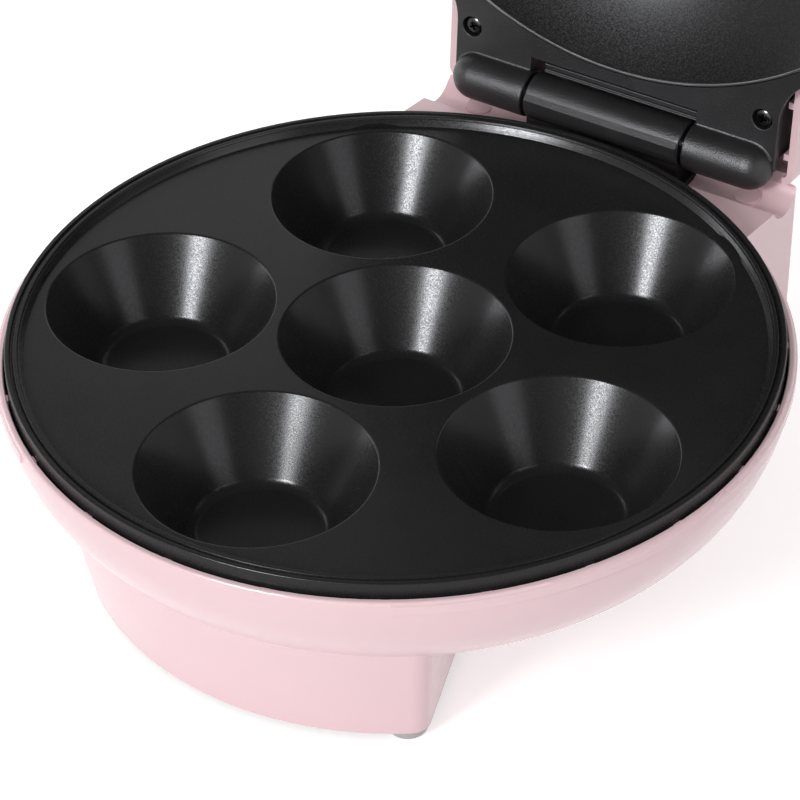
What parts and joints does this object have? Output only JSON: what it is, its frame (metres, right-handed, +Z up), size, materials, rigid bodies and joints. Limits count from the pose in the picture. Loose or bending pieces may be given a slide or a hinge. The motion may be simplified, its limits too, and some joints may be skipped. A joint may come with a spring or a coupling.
{
  "type": "cupcake maker",
  "caption": "Round countertop cupcake maker with a cup plate on a waisted stand and a domed lid on a rear hinge.",
  "frame": {"origin": "middle of the footprint on the table plane, with the lid open as stored", "axes": "+Z up, -Y the front where the lid's handle lies when closed, +X to the right seen from the front"},
  "size_m": [0.239, 0.3218, 0.3467],
  "materials": {
    "pink_shell": "gloss",
    "black_plastic": "satin",
    "coated_plate": "satin non-stick coating",
    "element_steel": "satin",
    "bright_sheet": "satin",
    "zinc_steel": "satin",
    "dark_steel": "satin",
    "pin_steel": "polished",
    "thermostat_metal": "satin",
    "fuse_metal": "satin",
    "brass": "satin",
    "mica": "matte",
    "white_plastic": "matte",
    "wire_sleeve": "matte",
    "lamp_plastic": "matte",
    "grey_rubber": "satin",
    "black_rubber": "satin",
    "red_lens": "gloss",
    "green_lens": "gloss"
  },
  "bodies": {
    "base": {"lower_housing": "pink_shell", "bottom_cover": "black_plastic", "rubber_feet": "grey_rubber", "bottom_cover_screws": "dark_steel", "lower_plate": "coated_plate", "plate_screws": "zinc_steel", "plate_washers": "mica", "earth_tag": "brass", "lower_heater": "element_steel", "lower_heater_clips": "zinc_steel", "lower_reflector": "bright_sheet", "thermostat": "thermostat_metal", "terminal_block": "white_plastic", "terminal_screws": "brass", "base_wiring": "wire_sleeve", "cord_gland": "black_rubber", "centre_knuckle": "black_plastic", "knuckle_screws": "dark_steel", "trough_plugs": "pink_shell"},
    "lid": {"lid_shell": "pink_shell", "lid_frame": "black_plastic", "frame_screws": "dark_steel", "hinge_pins": "pin_steel", "hinge_strip": "black_plastic", "upper_plate": "coated_plate", "upper_plate_screws": "zinc_steel", "upper_heater": "element_steel", "upper_heater_clips": "zinc_steel", "upper_reflector": "bright_sheet", "thermal_fuse": "fuse_metal", "lid_wiring": "wire_sleeve", "handle_underside": "black_plastic", "handle_screws": "dark_steel", "power_lens": "red_lens", "ready_lens": "green_lens", "neon_lamps": "lamp_plastic"}
  },
  "joints": [
    {"name": "lid_hinge", "type": "hinge", "parent": "base", "child": "lid", "pos_m": [0, 0.087, 0.0766], "axis": [1, 0, 0], "range_deg": [0, 95]}
  ]
}
